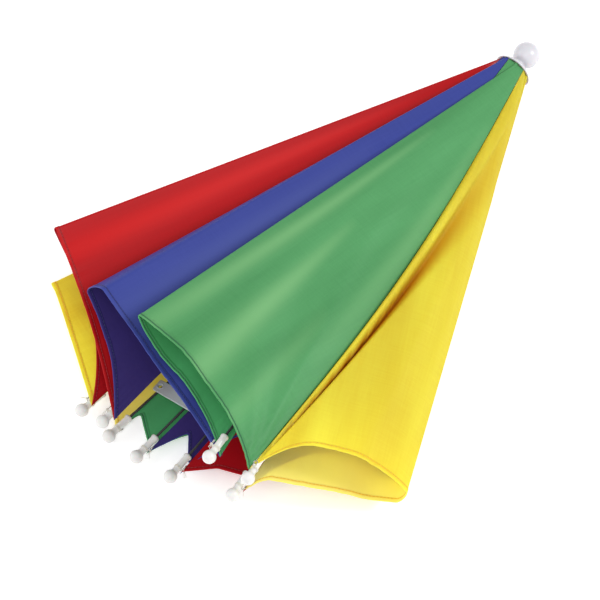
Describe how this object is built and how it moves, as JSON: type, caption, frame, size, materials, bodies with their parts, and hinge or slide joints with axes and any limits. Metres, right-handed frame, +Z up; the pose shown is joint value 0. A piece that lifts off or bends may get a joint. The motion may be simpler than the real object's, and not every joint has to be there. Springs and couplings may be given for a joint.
{
  "type": "folded umbrella hat",
  "caption": "Folded umbrella hat lying on its side: pleated coloured cloth panels on thin ribs with ball tips, and a white knob with a flared disc at the crown.",
  "frame": {"origin": "middle of the footprint on the surface that the folded hat lies on", "axes": "+X along the folded hat from the rib tips to the crown knob, +Z up from the surface, +Y to its left"},
  "size_m": [0.373, 0.2632, 0.074],
  "materials": {
    "red_cloth": "thin plain-woven cloth, soft sheen",
    "blue_cloth": "thin plain-woven cloth, soft sheen",
    "green_cloth": "thin plain-woven cloth, soft sheen",
    "yellow_cloth": "thin plain-woven cloth, soft sheen",
    "white_elastic": "knitted elastic, matt",
    "white_plastic": "moulded, glossy",
    "grey_plastic": "moulded strip, satin",
    "dark_steel": "drawn wire, blackened"
  },
  "bodies": {
    "root": {"gore_green_upper": "green_cloth", "gore_blue_upper": "blue_cloth", "gore_red_upper": "red_cloth", "gore_yellow_upper": "yellow_cloth", "gore_green_under": "green_cloth", "gore_blue_under": "blue_cloth", "gore_red_under": "red_cloth", "gore_yellow_side": "yellow_cloth", "rib_1": "dark_steel", "rib_2": "dark_steel", "rib_3": "dark_steel", "rib_4": "dark_steel", "rib_5": "dark_steel", "rib_6": "dark_steel", "rib_7": "dark_steel", "rib_8": "dark_steel", "rib_tip_1": "white_plastic", "rib_tip_2": "white_plastic", "rib_tip_3": "white_plastic", "rib_tip_4": "white_plastic", "rib_tip_5": "white_plastic", "rib_tip_6": "white_plastic", "rib_tip_7": "white_plastic", "rib_tip_8": "white_plastic", "crown_knob": "white_plastic", "crown_flange": "white_plastic", "rib_notch": "white_plastic", "band_strip": "grey_plastic", "head_band": "white_elastic"}
  },
  "joints": []
}
